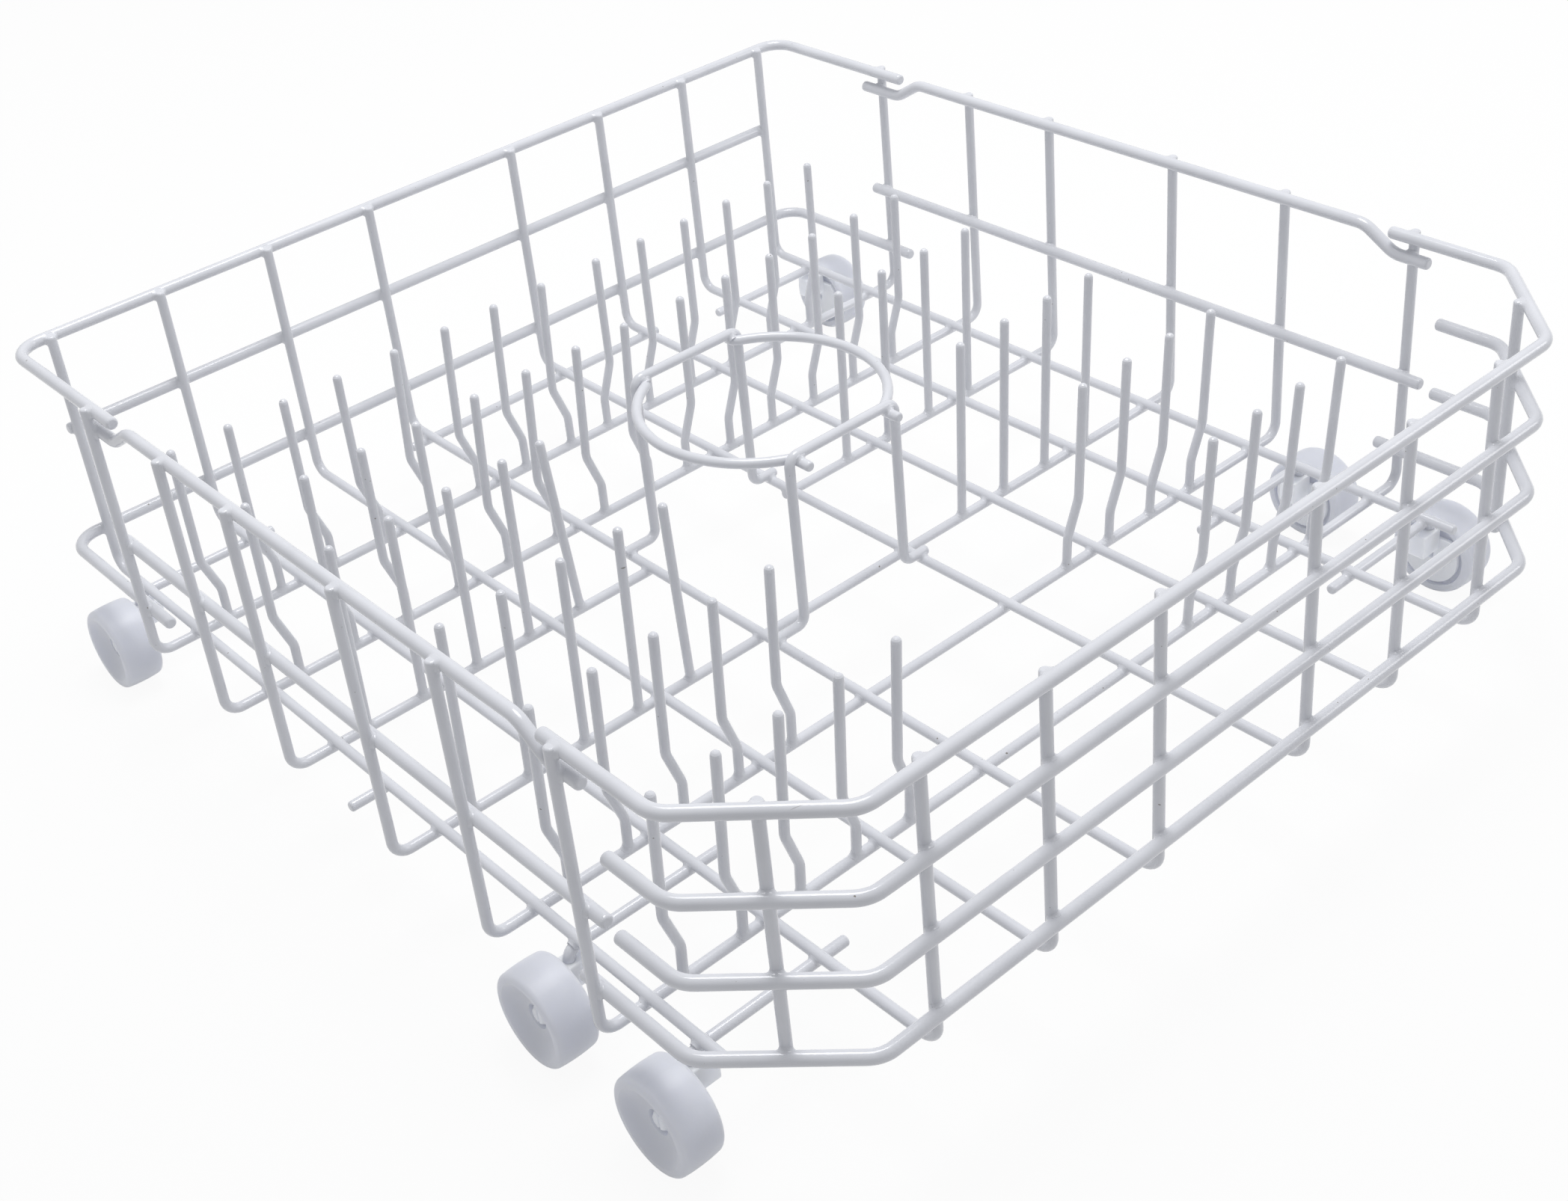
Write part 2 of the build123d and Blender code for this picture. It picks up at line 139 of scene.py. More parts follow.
def coated_wire_tree(name, end_rounding):
    """Bends routes at their corners, sweeps a round wire along them and rounds it off at both ends."""
    inputs = {"Diameter": "Float", "Sides": "Int", "Bend Steps": "Int", "Coating": "Material"}
    tree, source, result, identifiers = node_tree(name, inputs)
    link = tree.links.new
    route = tree.nodes.new("GeometryNodeMeshToCurve")
    bend = tree.nodes.new("GeometryNodeInputNamedAttribute")
    bend.inputs["Name"].default_value = "bend"
    fillet = tree.nodes.new("GeometryNodeFilletCurve")
    fillet.mode = "POLY"
    radius = tree.nodes.new("ShaderNodeMath")
    radius.operation = "MULTIPLY"
    radius.inputs[1].default_value = 0.5
    section = tree.nodes.new("GeometryNodeCurvePrimitiveCircle")
    swept = tree.nodes.new("GeometryNodeCurveToMesh")
    swept.inputs["Fill Caps"].default_value = True
    corners = tree.nodes.new("GeometryNodeInputMeshFaceNeighbors")
    is_end = tree.nodes.new("FunctionNodeCompare")
    is_end.data_type = "INT"
    is_end.operation = "GREATER_THAN"
    is_end.inputs["B"].default_value = flank_corners
    link(source.outputs["Geometry"], route.inputs["Mesh"])
    link(route.outputs["Curve"], fillet.inputs["Curve"])
    link(bend.outputs["Attribute"], fillet.inputs["Radius"])
    link(source.outputs["Bend Steps"], fillet.inputs["Count"])
    link(source.outputs["Diameter"], radius.inputs[0])
    link(radius.outputs["Value"], section.inputs["Radius"])
    link(source.outputs["Sides"], section.inputs["Resolution"])
    link(fillet.outputs["Curve"], swept.inputs["Curve"])
    link(section.outputs["Curve"], swept.inputs["Profile Curve"])
    link(corners.outputs["Vertex Count"], is_end.inputs["A"])
    shape, ends = swept.outputs["Mesh"], is_end.outputs["Result"]
    size, height = 1.0, 0.0
    for turn in end_turns:
        new_size = 1 - end_rounding * (1 - math.cos(math.radians(turn)))
        new_height = end_rounding * math.sin(math.radians(turn))
        step = tree.nodes.new("ShaderNodeMath")
        step.operation = "MULTIPLY"
        step.inputs[1].default_value = new_height - height
        push = tree.nodes.new("GeometryNodeExtrudeMesh")
        shrink = tree.nodes.new("GeometryNodeScaleElements")
        shrink.inputs["Scale"].default_value = new_size / size
        link(radius.outputs["Value"], step.inputs[0])
        link(shape, push.inputs["Mesh"])
        link(ends, push.inputs["Selection"])
        link(step.outputs["Value"], push.inputs["Offset Scale"])
        link(push.outputs["Mesh"], shrink.inputs["Geometry"])
        link(push.outputs["Top"], shrink.inputs["Selection"])
        shape, ends = shrink.outputs["Geometry"], push.outputs["Top"]
        size, height = new_size, new_height
    smooth = tree.nodes.new("GeometryNodeSetShadeSmooth")
    painted = tree.nodes.new("GeometryNodeSetMaterial")
    realized = tree.nodes.new("GeometryNodeRealizeInstances")
    link(shape, smooth.inputs["Geometry"])
    link(smooth.outputs["Geometry"], realized.inputs["Geometry"])
    link(realized.outputs["Geometry"], painted.inputs["Geometry"])
    link(source.outputs["Coating"], painted.inputs["Material"])
    link(painted.outputs["Geometry"], result.inputs["Geometry"])
    return tree, identifiers, height


def baked(obj, tree, identifiers, **values):
    """Runs a tree on an object and keeps the result as that object's plain mesh."""
    modifier = obj.modifiers.new(tree.name, "NODES")
    modifier.node_group = tree
    for label, value in values.items():
        modifier[identifiers[label.replace("_", " ")]] = value
    depsgraph = bpy.context.evaluated_depsgraph_get()
    mesh = bpy.data.meshes.new_from_object(obj.evaluated_get(depsgraph))
    obj.modifiers.remove(modifier)
    obj.data = mesh
    mesh.name = obj.name
    return obj


square_cut = coated_wire_tree("coated_wire_square_cut", square_rounding)
wire_runs = []


def coated_wires(name, routes, diameter, cad_nodes, cut=square_cut):
    """One mesh of coated wires along routes of (x, y, z, bend radius), in place of the frame's wires."""
    tree, identifiers, end_height = cut
    end_length = end_height * diameter / 2
    vertices, edges, bends = [], [], []
    for route in routes:
        points = [Vector(corner[:3]) for corner in route]
        last = len(points) - 2
        for i, (a, b) in enumerate(zip(points, points[1:])):
            wire_runs.append((a.copy(), b.copy(), diameter / 2, (i == 0, i == last)))
        points[0] += (points[1] - points[0]).normalized() * end_length
        points[-1] += (points[-2] - points[-1]).normalized() * end_length
        first = len(vertices)
        vertices.extend(point * mm for point in points)
        edges.extend((first + i, first + i + 1) for i in range(len(points) - 1))
        bends.extend(corner[3] * mm for corner in route)
    mesh = bpy.data.meshes.new(name)
    mesh.from_pydata(vertices, edges, [])
    mesh.attributes.new("bend", "FLOAT", "POINT").data.foreach_set("value", bends)
    obj = bpy.data.objects.new(name, mesh)
    bpy.context.scene.collection.objects.link(obj)
    values = {"Diameter": diameter * mm, "Sides": wire_sides, "Bend_Steps": bend_steps, "Coating": coating}
    baked(obj, tree, identifiers, **values)
    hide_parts(*cad_nodes)
    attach(obj, "basket")
    return obj


rail_diameter = 6.0
half_width = 250.0
half_depth = 272.5
rim_height = 181.6
floor_height = 44.6
corner_cut = 48.5
rim_bend = 14.0
cross_wire_y = [share * half_depth for share in (0.678, 0.421, 0.202, -0.108, -0.365, -0.634)]
long_wire_x = [share * half_width for share in (0.188, 0.437, 0.686, 0.924)]
long_leg, short_leg, free_leg, rail_end = 20.0, 11.0, 33.5, 4.0
back_leg_y = cross_wire_y[0] - long_leg
front_leg_y = cross_wire_y[-1] + short_leg
kink_drop, kink_run, kink_lead = 10.5, 17.0, 3.0


def bent(points, bend):
    """A route with one bend radius at every inner corner."""
    last = len(points) - 1
    return [(*point, 0 if i in (0, last) else bend) for i, point in enumerate(points)]


def level(share):
    """The height at a share of the way down from the rims to the floor."""
    return rim_height - share * (rim_height - floor_height)


def front_route(height, leg_y):
    """Round the front and its cut corners, with a leg along each side."""
    side_y, front_x = corner_cut - half_depth, half_width - corner_cut
    left = [(-half_width, leg_y, height), (-half_width, side_y, height), (-front_x, -half_depth, height)]
    return bent(left + [(-x, y, z) for x, y, z in reversed(left)], rim_bend)


def back_route(height):
    """Round the back, with a leg along each side."""
    left = [(-half_width, back_leg_y, height), (-half_width, half_depth, height)]
    return bent(left + [(-x, y, z) for x, y, z in reversed(left)], rim_bend)


def side_rim_route(side):
    """Along one side, kinked down at both ends."""
    x, low = side * half_width, rim_height - kink_drop
    back_kink, front_kink = back_leg_y + kink_lead, front_leg_y - kink_lead
    return bent(
        [
            (x, cross_wire_y[0] + short_leg, low),
            (x, back_kink, low),
            (x, back_kink - kink_run, rim_height),
            (x, front_kink + kink_run, rim_height),
            (x, front_kink, low),
            (x, cross_wire_y[-1] - short_leg, low),
        ],
        rim_bend,
    )


rim_routes = {
    "rim_front": front_route(rim_height, front_leg_y),
    "rim_back": back_route(rim_height),
    "rim_left": side_rim_route(-1),
    "rim_right": side_rim_route(1),
}
front_upper, front_middle, front_lower = level(0.289), level(0.563), level(0.841)
back_upper, back_lower = level(0.372), level(0.812)
side_middle = level(0.545)
side_rail_ends = (8.0, 12.0)
side_rail_y = (cross_wire_y[0] + side_rail_ends[0], cross_wire_y[-1] - side_rail_ends[1])
free_leg_y = corner_cut - half_depth + free_leg
back_rail_x = long_wire_x[-1] + rail_end
rail_routes = {
    "front_rail_upper": front_route(front_upper, free_leg_y),
    "front_rail_middle": front_route(front_middle, free_leg_y),
    "front_rail_lower": front_route(front_lower, front_leg_y),
    "back_rail_lower": back_route(back_lower),
    "back_rail_upper": bent([(x, half_depth, back_upper) for x in (-back_rail_x, back_rail_x)], 0),
}
for side_name, side in (("left", -1), ("right", 1)):
    side_rail = [(side * half_width, y, side_middle) for y in side_rail_y]
    rail_routes["side_rail_" + side_name] = bent(side_rail, 0)
coated_wires("rims", rim_routes.values(), rail_diameter, rim_routes)
coated_wires("rails", rail_routes.values(), rail_diameter, rail_routes)

# The floor is a grid of 5 mm wires: cross wires below and long wires on top of them. Both turn up into
# the walls, cross wires outside the side rims and long wires inside the front and back ones.
grid_diameter = 5.0
weld_sink = 1.8
floor_bend = 8.0
side_nub, end_nub = 2.6, 1.8
long_wire_tail = 17.5
cut_cross_wire = 3
corner_long_wires = (1, 8)
wall_step = (rail_diameter + grid_diameter) / 2 - weld_sink
wall_x, wall_y = half_width + wall_step, half_depth - wall_step
grid_step = grid_diameter - weld_sink
long_wire_height = floor_height + grid_step
side_top, end_top = rim_height + side_nub, rim_height + end_nub
wheel_axle_y = {
    "back": 0.881 * half_depth,
    "middle": -0.468 * half_depth,
    "front": -0.748 * half_depth,
}
holder_y = 0.047 * half_depth

grid_routes = {}
for number, y in enumerate(cross_wire_y, start=1):
    left = [(-wall_x, y, side_top), (-wall_x, y, floor_height)]
    right = [(-x, y, z) for x, y, z in reversed(left)]
    if number == cut_cross_wire:
        cut_x = long_wire_x[0] - grid_diameter / 2
        grid_routes["cross_wire_3_left"] = bent([*left, (-cut_x, y, floor_height)], floor_bend)
        grid_routes["cross_wire_3_right"] = bent([(cut_x, y, floor_height), *right], floor_bend)
    else:
        grid_routes[f"cross_wire_{number}"] = bent(left + right, floor_bend)
for number, x in enumerate([-x for x in reversed(long_wire_x)] + long_wire_x, start=1):
    back = [(x, wall_y, end_top), (x, wall_y, long_wire_height)]
    front = [(x, -wall_y, long_wire_height), (x, -wall_y, end_top)]
    if number in corner_long_wires:
        front = [(x, wheel_axle_y["front"] - long_wire_tail, long_wire_height)]
    grid_routes[f"long_wire_{number}"] = bent(back + front, floor_bend)
post_inset = corner_cut / 2 + wall_step / math.sqrt(2)
post_ends = (front_lower - rail_end, end_top)
for side_name, side in (("left", -1), ("right", 1)):
    post_x, post_y = side * (half_width - post_inset), post_inset - half_depth
    grid_routes["corner_post_" + side_name] = bent([(post_x, post_y, z) for z in post_ends], 0)
short_wire_y = 0.928 * half_depth
short_wire_ends = (12.0, 10.0)
short_wire_x = (-long_wire_x[0] - short_wire_ends[0], long_wire_x[1] + short_wire_ends[1])
grid_routes["short_back_wire"] = bent([(x, short_wire_y, floor_height) for x in short_wire_x], 0)
stop_wire_x = (-half_width, -long_wire_x[-1] + grid_diameter / 2)
grid_routes["side_stop_wire"] = bent([(x, holder_y, floor_height) for x in stop_wire_x], 0)
coated_wires("floor_and_wall_wires", grid_routes.values(), grid_diameter, grid_routes)

# The holder ring is four wires: two bridges stand on the middle long wires, and two half rings hang
# under the bridges' bars, with their ends turned straight to cross them.
holder_bend = 5.0
ring_x = 2.8
ring_radius = 60.0
ring_ease = 0.985
ring_overhang = 9.0
holder_height = 97.0
bridge_inset = 14.0
bridge_leg_x = long_wire_x[0] - bridge_inset
ring_end_x = bridge_leg_x - holder_bend
ring_turn = math.acos((ring_end_x + holder_bend) / (ring_radius + holder_bend))
bridge_step = (ring_radius + holder_bend) * math.sin(ring_turn)
bar_height = floor_height + holder_height
foot_height = long_wire_height + grid_step


def bridge_route(y):
    """A bar on two legs, with a foot turned out on each of the two middle long wires."""
    foot_x = long_wire_x[0] + rail_end
    left_x, right_x = ring_x - bridge_leg_x, ring_x + bridge_leg_x
    left = [(-foot_x, y, foot_height), (left_x, y, foot_height), (left_x, y, bar_height)]
    right = [(right_x, y, bar_height), (right_x, y, foot_height), (foot_x, y, foot_height)]
    return bent(left + right, holder_bend)


def half_ring_route(side):
    """Three corners, each eased to just under the ring's radius, make a bow between two straight ends."""
    height = bar_height - grid_step
    straight = bridge_step - holder_bend * math.tan(ring_turn / 2)
    reach = ring_radius / math.cos(ring_turn / 3)
    turns = (-ring_turn * 2 / 3, 0, ring_turn * 2 / 3)
    bow = [(reach * math.cos(turn), reach * math.sin(turn)) for turn in turns]
    plan = [(ring_end_x, -bridge_step - ring_overhang, 0), (ring_end_x, -straight, holder_bend)]
    plan += [(x, y, ring_ease * ring_radius) for x, y in bow]
    plan += [(ring_end_x, straight, holder_bend), (ring_end_x, bridge_step + grid_diameter / 2, 0)]
    return [(ring_x + side * x, holder_y + y, height, bend) for x, y, bend in plan]


holder_routes = {
    "ring_bracket_front": bridge_route(holder_y - bridge_step),
    "ring_bracket_back": bridge_route(holder_y + bridge_step),
    "ring_arc_left": half_ring_route(-1),
    "ring_arc_right": half_ring_route(1),
}
coated_wires("holder_ring", holder_routes.values(), grid_diameter, holder_routes)

# The axle wires are short 5 mm wires under the outer long wires, each turned down at its outer end to
# carry the clip of a wheel.
axle_bend = 5.3
axle_length = 80.0
wheel_radius = 22.0
clip_room = 7.0
axle_leg_x = long_wire_x[-1] + axle_bend
axle_routes = {}
for side_name, side in (("left", -1), ("right", 1)):
    for place_name, y in wheel_axle_y.items():
        inner = (side * (axle_leg_x - axle_length), y, floor_height)
        corner = (side * axle_leg_x, y, floor_height)
        low = (side * axle_leg_x, y, wheel_radius + clip_room)
        axle_routes[f"axle_wire_{side_name}_{place_name}"] = bent([inner, corner, low], axle_bend)
coated_wires("axle_wires", axle_routes.values(), grid_diameter, axle_routes)

# Where two wires cross they are spot-welded and sunk into each other, and the coating, which flows before
# it sets, rounds off the corner between them with a small web. Near a wire's end the web stops at the end.
web_reach = 2.0
web_room = 5.0
web_sides = 24
web_shares = (0, 0.2, 0.5, 0.8, 1)
web_bite = 0.04
web_edge = 0.3
rounded_end = 0.9
grid_radius = grid_diameter / 2
least_crossing = 0.8
weld_slack = 0.2
search_span, search_steps = 1.5, 30
near_the_end = 0.98


def spare_wire(run, share):
    """The length of wire left beyond a weld towards the nearer free end, and the way to that end."""
    start, end, _, free_ends = run
    along = end - start
    choices = [(web_room, along.normalized())]
    if free_ends[0]:
        choices.append((share * along.length, -along.normalized()))
    if free_ends[1]:
        choices.append(((1 - share) * along.length, along.normalized()))
    return min(choices, key=lambda choice: choice[0])


def touching(run_a, run_b):
    """The weld between two crossing wires: its middle, the way across it to the wire that ends nearer, the
    way along the other one, both radii (that other one's first) and the length of wire left to that end."""
    (a0, a1, radius_a, _), (b0, b1, radius_b, _) = run_a, run_b
    along_a, along_b = a1 - a0, b1 - b0
    across = along_a.cross(along_b)
    if across.length < least_crossing * along_a.length * along_b.length:
        return None
    across.normalize()
    gap = (b0 - a0).dot(across)
    if abs(abs(gap) - radius_a - radius_b + weld_sink) > weld_slack:
        return None
    flat = b0 - a0 - gap * across
    share_a = flat.cross(along_b).dot(across) / along_a.cross(along_b).dot(across)
    share_b = flat.cross(along_a).dot(across) / along_a.cross(along_b).dot(across)
    if not (0 <= share_a <= 1 and 0 <= share_b <= 1):
        return None
    toward = across if gap > 0 else -across
    middle = a0 + share_a * along_a + (radius_a - weld_sink / 2) * toward
    (spare_a, way_a), (spare_b, way_b) = spare_wire(run_a, share_a), spare_wire(run_b, share_b)
    if spare_a < spare_b:
        return middle, -toward, -way_a.cross(toward), (radius_b, radius_a, round(spare_a, 1))
    return middle, toward, way_b.cross(toward), (radius_a, radius_b, round(spare_b, 1))


def on_wire(along, aside, radius, crest):
    """The foot of a web on a wire along X, a web's reach further from the weld than the corner at
    (along, aside), and how far the web stands off that corner to run smoothly into the wire."""
    round_way = radius * math.asin(aside / radius)
    stretch = web_reach / math.hypot(along, round_way)
    turn = round_way * (1 + stretch) / radius
    skin = radius - web_bite
    foot = Vector((along * (1 + stretch), skin * math.sin(turn), crest - radius + skin * math.cos(turn)))
    outward = Vector((0, aside, math.sqrt(radius**2 - aside**2))) / radius
    return foot, outward * (round_way * stretch) ** 2 / (2 * radius)


def fall(offset, radius):
    """How far a wire has fallen away from its crest, at an offset from it."""
    return radius - math.sqrt(radius**2 - min(abs(offset), radius) ** 2)


def turned_over(point):
    """A point given for a wire along X, for the wire along Y that lies on it the other way up."""
    return Vector((point.y, point.x, -point.z))


def weld_corner(turn, lower_radius, upper_radius, end):
    """At a turn round a weld: a foot on the lower wire, the corner between the wires and a foot on the
    upper wire, which ends at a distance along Y."""
    near, far = 0.0, search_span * upper_radius
    for _ in range(search_steps):
        reach = (near + far) / 2
        x, y = reach * math.cos(turn), reach * math.sin(turn)
        inside = y < end and fall(y, lower_radius) + fall(x, upper_radius) < weld_sink
        near, far = (reach, far) if inside else (near, reach)
    crest = weld_sink / 2
    corner = Vector((x, y, crest - fall(y, lower_radius)))
    lower, lower_lift = on_wire(x, y, lower_radius, crest)
    if y > near_the_end * end:
        return lower, corner + lower_lift, corner + Vector((0, 0, web_reach))
    upper, upper_lift = map(turned_over, on_wire(y, x, upper_radius, crest))
    upper.y = min(upper.y, max(y, end - rounded_end))
    return lower, corner + lower_lift + upper_lift, upper


def web(name, corner_at):
    """A closed web with a hollow flank, through the corners all round a weld."""
    corners = [corner_at(2 * math.pi * (i + 0.5) / web_sides) for i in range(web_sides)]
    vertices, faces = [], [tuple(reversed(range(web_sides)))]
    for number, t in enumerate(web_shares):
        vertices += [((1 - t) ** 2 * a + 2 * t * (1 - t) * b + t**2 * c) * mm for a, b, c in corners]
        if number > 0:
            low, high = (number - 1) * web_sides, number * web_sides
            after = [(i + 1) % web_sides for i in range(web_sides)]
            faces += [(low + i, low + after[i], high + after[i], high + i) for i in range(web_sides)]
    faces.append(tuple(range(high, high + web_sides)))
    mesh = bpy.data.meshes.new(name)
    mesh.from_pydata(vertices, [], faces)
    obj = bpy.data.objects.new(name, mesh)
    bpy.context.scene.collection.objects.link(obj)
    return obj


def placed_shapes_tree(name):
    """Puts one shape on every point, turned by the point's own two axes."""
    tree, source, result, identifiers = node_tree(name, {"Shape": "Object", "Coating": "Material"})
    link = tree.links.new
    points = tree.nodes.new("GeometryNodeMeshToPoints")
    shape = tree.nodes.new("GeometryNodeObjectInfo")
    turned = tree.nodes.new("FunctionNodeAxesToRotation")
    turned.primary_axis, turned.secondary_axis = "Z", "X"
    placed = tree.nodes.new("GeometryNodeInstanceOnPoints")
    for label, socket in (("across", "Primary Axis"), ("along", "Secondary Axis")):
        attribute = tree.nodes.new("GeometryNodeInputNamedAttribute")
        attribute.data_type = "FLOAT_VECTOR"
        attribute.inputs["Name"].default_value = label
        link(attribute.outputs["Attribute"], turned.inputs[socket])
    realized = tree.nodes.new("GeometryNodeRealizeInstances")
    corners = tree.nodes.new("GeometryNodeInputMeshFaceNeighbors")
    is_flank = tree.nodes.new("FunctionNodeCompare")
    is_flank.data_type = "INT"
    is_flank.operation = "EQUAL"
    is_flank.inputs["B"].default_value = flank_corners
    smooth = tree.nodes.new("GeometryNodeSetShadeSmooth")
    painted = tree.nodes.new("GeometryNodeSetMaterial")
    link(corners.outputs["Vertex Count"], is_flank.inputs["A"])
    link(is_flank.outputs["Result"], smooth.inputs["Selection"])
    link(source.outputs["Geometry"], points.inputs["Mesh"])
    link(source.outputs["Shape"], shape.inputs["Object"])
    link(points.outputs["Points"], placed.inputs["Points"])
    link(shape.outputs["Geometry"], placed.inputs["Instance"])
    link(turned.outputs["Rotation"], placed.inputs["Rotation"])
    link(placed.outputs["Instances"], realized.inputs["Geometry"])
    link(realized.outputs["Geometry"], smooth.inputs["Geometry"])
    link(smooth.outputs["Geometry"], painted.inputs["Geometry"])
    link(source.outputs["Coating"], painted.inputs["Material"])
    link(painted.outputs["Geometry"], result.inputs["Geometry"])
    return tree, identifiers


placed_shapes = placed_shapes_tree("shapes_on_points")


def coating_webs(name, shape, spots):
    """One mesh of a shape repeated at spots of (point, way across, way along)."""
    mesh = bpy.data.meshes.new(name)
    mesh.from_pydata([spot[0] * mm for spot in spots], [], [])
    for label, column in (("across", 1), ("along", 2)):
        values = [number for spot in spots for number in spot[column]]
        mesh.attributes.new(label, "FLOAT_VECTOR", "POINT").data.foreach_set("vector", values)
    obj = bpy.data.objects.new(name, mesh)
    bpy.context.scene.collection.objects.link(obj)
    baked(obj, *placed_shapes, Shape=shape, Coating=coating)
    bpy.data.objects.remove(shape)
    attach(obj, "basket")
    return obj


welds = []
for number, run in enumerate(wire_runs):
    welds += filter(None, (touching(run, other) for other in wire_runs[number + 1 :]))
for number, kind in enumerate(sorted({weld[3] for weld in welds}), start=1):
    lower_radius, upper_radius, spare = kind
    limits = (lower_radius, upper_radius, spare - web_edge)
    shape = web("weld_web", lambda turn: weld_corner(turn, *limits))
    coating_webs(f"weld_webs_{number}", shape, [weld[:3] for weld in welds if weld[3] == kind])

# The plate tines are 4.5 mm wires butt-welded to the tops of the cross wires, and lean a little to the
# front. Most step outwards above their feet. Two have been knocked aside, and the middle ones of the back
# rows pushed a little to the right. The coating domes their tops and flares out round their feet.
tine_diameter = 4.5
tine_radius = tine_diameter / 2
tine_pitch = 0.1236 * half_width
foot_inset = 2.6
tine_height = 102.0
tine_lean, tine_fan = 4.3, 0.0165
kink_low, kink_high, kink_shift, tine_bend = 18.0, 38.0, 7.0, 13.0
tine_columns = range(-7, 7)
holder_columns = 2
full_rows, straight_rows = (1, 2), (3, 4)
pushed_columns, pushed_lean = range(-3, 1), 3.0
knocked_leans = {(3, -3): -9.6, (4, -3): -6.0}
knocked_leans.update({(row, column): pushed_lean for row in full_rows for column in pushed_columns})
dome_rounding = 0.96
domed = coated_wire_tree("coated_wire_domed", dome_rounding)


def tine_route(row, column, y):
    """From inside the cross wire up to the tip: straight in the middle rows, stepped in the others."""
    outward = 1 if column > 0 else -1
    foot_x = column * tine_pitch - outward * foot_inset
    shift = 0 if row in straight_rows else outward * kink_shift
    top_shift = shift + knocked_leans.get((row, column), 0)
    steps = [(-tine_radius / 2, 0), (kink_low, 0), (kink_high, shift), (tine_height, top_shift)]
    if shift == 0:
        steps = [steps[0], steps[-1]]
    lean = tine_fan * y - tine_lean
    points = [(foot_x + aside, y + lean * up / tine_height, floor_height + up) for up, aside in steps]
    return bent(points, tine_bend)


def foot_corner(turn):
    """At a turn round a tine's foot: a point on the cross wire, the corner and one up the tine."""
    x, y = tine_radius * math.cos(turn), tine_radius * math.sin(turn)
    corner = Vector((x, y, -fall(y, grid_radius)))
    foot, lift = on_wire(x, y, grid_radius, 0)
    skin = 1 - web_bite / tine_radius
    return foot, corner + lift, Vector((skin * x, skin * y, corner.z + web_reach))


tine_routes, tine_feet = [], []
for number, y in enumerate(cross_wire_y, start=1):
    for column in tine_columns:
        if number in full_rows or abs(column) > holder_columns:
            route = tine_route(number, column, y)
            tine_routes.append(route)
            foot = Vector((route[0][0], y, floor_height + grid_radius))
            tine_feet.append((foot, Vector((0, 0, 1)), Vector((1, 0, 0))))
tine_nodes = [f"tine_row_{number}" for number in range(1, len(cross_wire_y) + 1)]
coated_wires("tines", tine_routes, tine_diameter, tine_nodes, domed)
coating_webs("foot_flares", web("foot_flare", foot_corner), tine_feet)

# The wheels and the clips that they turn on are moulded in unfilled, milky plastic: smooth, a little
# waxy, and lighter in their gaps, where light comes through the thin walls: partly subsurface light, and
# partly a painted glow, emission in the plastic's own colour that lifts the shade in the gaps and, a
# little, everywhere. The solids of the frame show.
cloud_shade = 0.95


def milky_plastic(name, colour, clear, painted_glow, clouds):
    """A plastic of one colour, a little clear, with a faint painted glow for light that comes through it.
    """
    material, plastic, wire_up = blank_material(name)
    place = shader(material, "ShaderNodeTexCoord").outputs["Object"]
    cloud = shader(material, "ShaderNodeTexNoise", scale=clouds, detail=4.0)
    tint = shader(material, "ShaderNodeValToRGB")
    tint.color_ramp.elements[0].position = 0.3
    tint.color_ramp.elements[0].color = [cloud_shade * part for part in colour] + [1]
    tint.color_ramp.elements[1].position = 0.7
    tint.color_ramp.elements[1].color = [*colour, 1]
    scuff = shader(material, "ShaderNodeTexNoise", scale=600.0, detail=3.0)
    sheen = shader(material, "ShaderNodeMapRange", to_min=0.32, to_max=0.5)
    bump = shader(material, "ShaderNodeBump", strength=0.15, distance=0.0002)
    for texture in (cloud, scuff):
        wire_up(place, texture.inputs["Vector"])
    wire_up(cloud.outputs["Fac"], tint.inputs["Fac"])
    wire_up(tint.outputs["Color"], plastic.inputs["Base Color"])
    wire_up(scuff.outputs["Fac"], sheen.inputs["Value"])
    wire_up(sheen.outputs["Result"], plastic.inputs["Roughness"])
    wire_up(scuff.outputs["Fac"], bump.inputs["Height"])
    wire_up(bump.outputs["Normal"], plastic.inputs["Normal"])
    plastic.inputs["Subsurface Weight"].default_value = 0.8
    plastic.inputs["Subsurface Radius"].default_value = (1.0, 1.0, 1.1)
    plastic.inputs["Subsurface Scale"].default_value = 0.009
    plastic.inputs["Transmission Weight"].default_value = clear
    # Painted glow: an even emission in the plastic's own colour, which lifts the shade in its gaps.
    plastic.inputs["Emission Color"].default_value = [*colour, 1]
    plastic.inputs["Emission Strength"].default_value = painted_glow
    plastic.inputs["IOR"].default_value = 1.45
    return material


clip_plastic = milky_plastic("clip_plastic", (0.83, 0.85, 0.91), clear=0.0, painted_glow=0.09, clouds=70.0)
wheel_plastic = milky_plastic("wheel_plastic", (0.69, 0.705, 0.76), clear=0.08, painted_glow=0.065, clouds=45.0)
finishes = {"wheel_mount_": clip_plastic, "wheel_": wheel_plastic}
for name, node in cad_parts.items():
    for start, material in finishes.items():
        if name.startswith(start):
            for slot in node.material_slots:
                slot.material = material
            break

# The basket stands on a plain white floor, paler towards the back, under soft studio light: a broad lamp
# above, a weaker one from the right, and a pale surround that the gloss of the coating mirrors. The camera
# and mirrored rays see the floor nearly pure white, with the basket's shadow left on it.
floor_mesh = bpy.data.meshes.new("floor")
floor_size = 30.0
floor_drop = 0.0002
white_share = 0.93
corners = [(-1, -1), (1, -1), (1, 1), (-1, 1)]
floor_points = [(x * floor_size, y * floor_size, -floor_drop) for x, y in corners]
floor_mesh.from_pydata(floor_points, [], [(0, 1, 2, 3)])
floor = bpy.data.objects.new("floor", floor_mesh)
bpy.context.scene.collection.objects.link(floor)
paper, matt, wire_up = blank_material("white_floor")
matt.inputs["Roughness"].default_value = 0.9
spot = shader(paper, "ShaderNodeSeparateXYZ")
away = shader(paper, "ShaderNodeMath", operation="ADD")
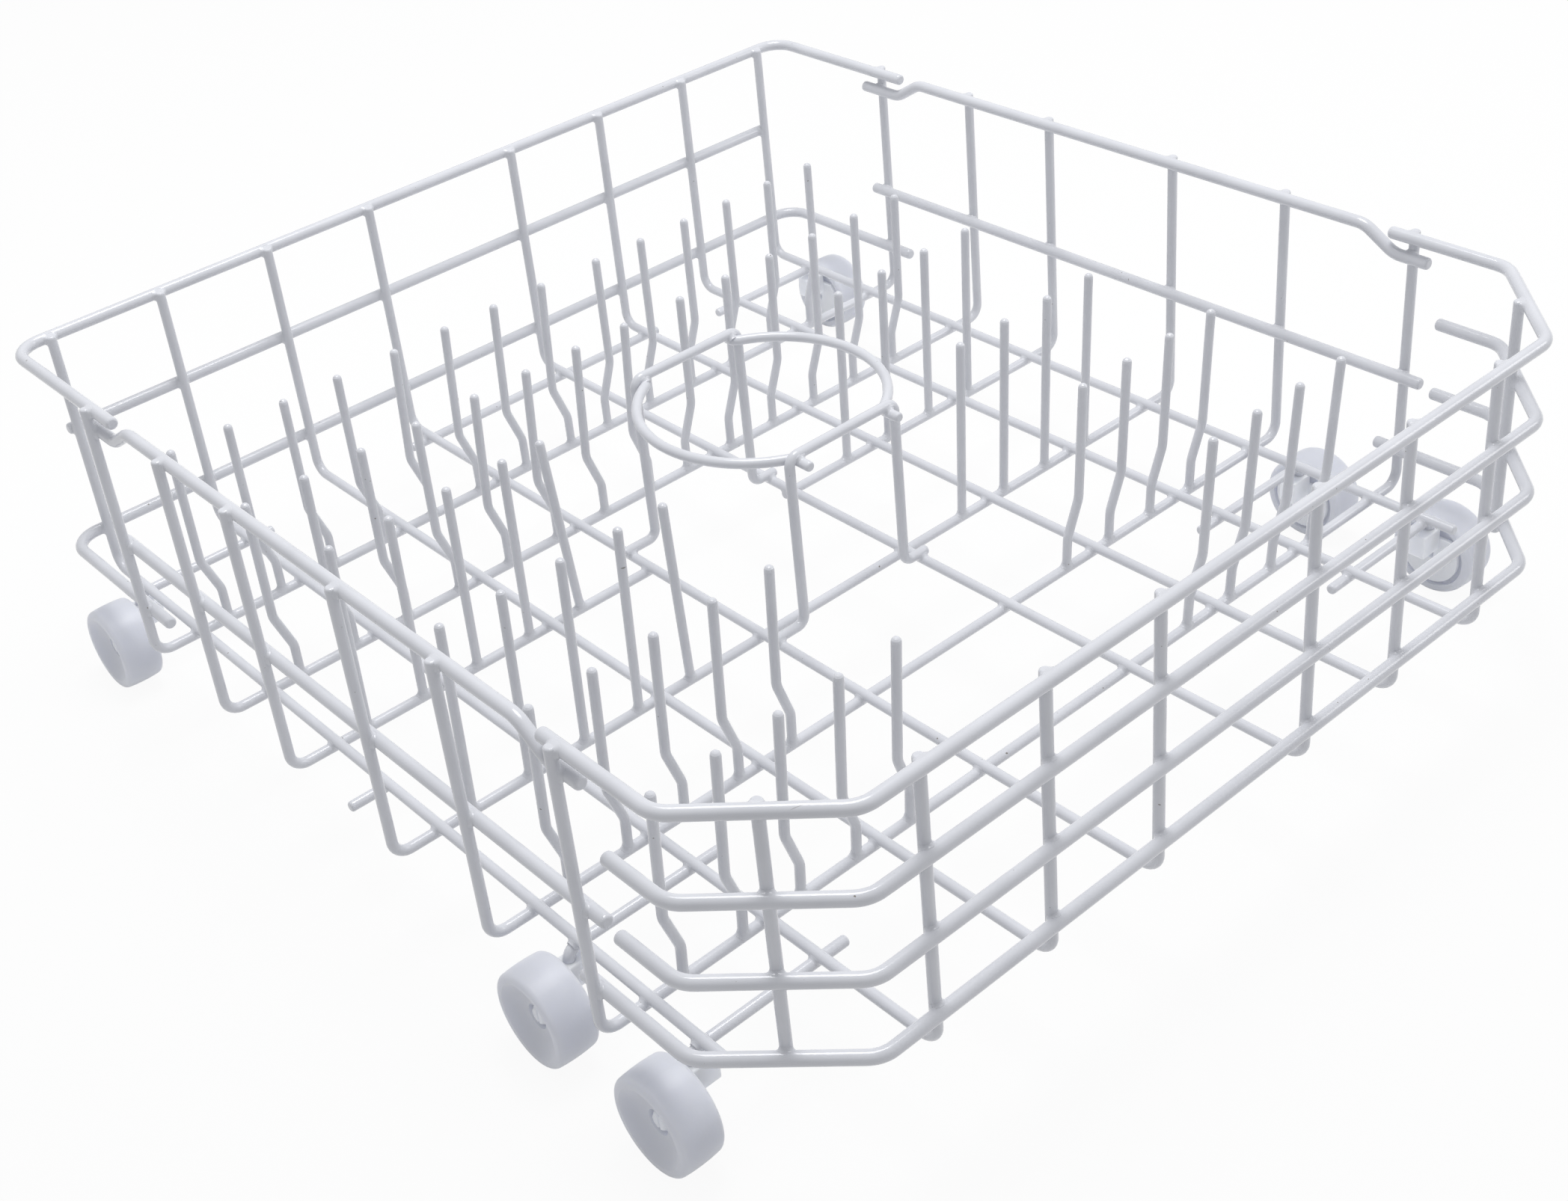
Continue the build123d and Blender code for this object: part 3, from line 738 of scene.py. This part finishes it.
paleness = shader(paper, "ShaderNodeMapRange", from_min=-0.9, from_max=0.3, to_min=0.54, to_max=0.86)
wire_up(shader(paper, "ShaderNodeTexCoord").outputs["Object"], spot.inputs["Vector"])
wire_up(spot.outputs["X"], away.inputs[0])
wire_up(spot.outputs["Y"], away.inputs[1])
wire_up(away.outputs["Value"], paleness.inputs["Value"])
wire_up(paleness.outputs["Result"], matt.inputs["Base Color"])
seen = shader(paper, "ShaderNodeLightPath")
mirrored = shader(paper, "ShaderNodeMath", operation="MAXIMUM")
through = shader(paper, "ShaderNodeMath", operation="MAXIMUM")
share = shader(paper, "ShaderNodeMath", operation="MULTIPLY")
share.inputs[1].default_value = white_share
white = shader(paper, "ShaderNodeEmission", strength=1.0)
mixed = shader(paper, "ShaderNodeMixShader")
wire_up(seen.outputs["Is Camera Ray"], mirrored.inputs[0])
wire_up(seen.outputs["Is Glossy Ray"], mirrored.inputs[1])
wire_up(mirrored.outputs["Value"], through.inputs[0])
wire_up(seen.outputs["Is Transmission Ray"], through.inputs[1])
wire_up(through.outputs["Value"], share.inputs[0])
wire_up(share.outputs["Value"], mixed.inputs["Fac"])
wire_up(matt.outputs["BSDF"], mixed.inputs[1])
wire_up(white.outputs["Emission"], mixed.inputs[2])
wire_up(mixed.outputs["Shader"], paper.node_tree.nodes["Material Output"].inputs["Surface"])
floor_mesh.materials.append(paper)

world = bpy.data.worlds.new("studio")
bpy.context.scene.world = world
world.use_nodes = True
sky = world.node_tree.nodes["Background"]
sky.inputs["Color"].default_value = (0.97, 0.98, 1.0, 1)
seen = shader(world, "ShaderNodeLightPath")
strength = shader(world, "ShaderNodeMapRange", to_min=0.54, to_max=1.0)
world.node_tree.links.new(seen.outputs["Is Camera Ray"], strength.inputs["Value"])
world.node_tree.links.new(strength.outputs["Result"], sky.inputs["Strength"])


def soft_lamp(name, size, power, place, target):
    """A round area lamp at a place, turned to a target."""
    lamp = bpy.data.lights.new(name, "AREA")
    lamp.shape = "DISK"
    lamp.size = size
    lamp.energy = power
    obj = bpy.data.objects.new(name, lamp)
    obj.location = place
    obj.rotation_mode = "QUATERNION"
    obj.rotation_quaternion = (Vector(target) - Vector(place)).to_track_quat("-Z", "Y")
    bpy.context.scene.collection.objects.link(obj)


basket_middle = (0, 0, 0.1)
soft_lamp("top_lamp", size=1.0, power=22.0, place=(0.2, 0.2, 1.9), target=basket_middle)
soft_lamp("right_lamp", size=0.8, power=6.0, place=(1.7, -1.2, 1.2), target=basket_middle)

# The camera stands at the photograph's own viewpoint, worked out from the straight wires: close by, looking
# down over the left front corner, and rolled a little.
camera_data = bpy.data.cameras.new("camera")
camera_data.sensor_width = 36.0
camera_data.lens = 48.40
camera_data.shift_x = 0.0245
camera_data.shift_y = -0.0777
camera = bpy.data.objects.new("camera", camera_data)
camera.location = (-0.54124, -0.66954, 0.63439)
heading, tilt, roll = math.radians(37.7756), math.radians(31.7751), math.radians(-6.424)
look = Vector((math.sin(heading) * math.cos(tilt), math.cos(heading) * math.cos(tilt), -math.sin(tilt)))
camera.rotation_mode = "QUATERNION"
camera.rotation_quaternion = look.to_track_quat("-Z", "Y") @ Quaternion((0, 0, 1), roll)
bpy.context.scene.collection.objects.link(camera)
bpy.context.scene.camera = camera
bpy.context.scene.view_settings.view_transform = "Standard"

bpy.context.view_layer.update()
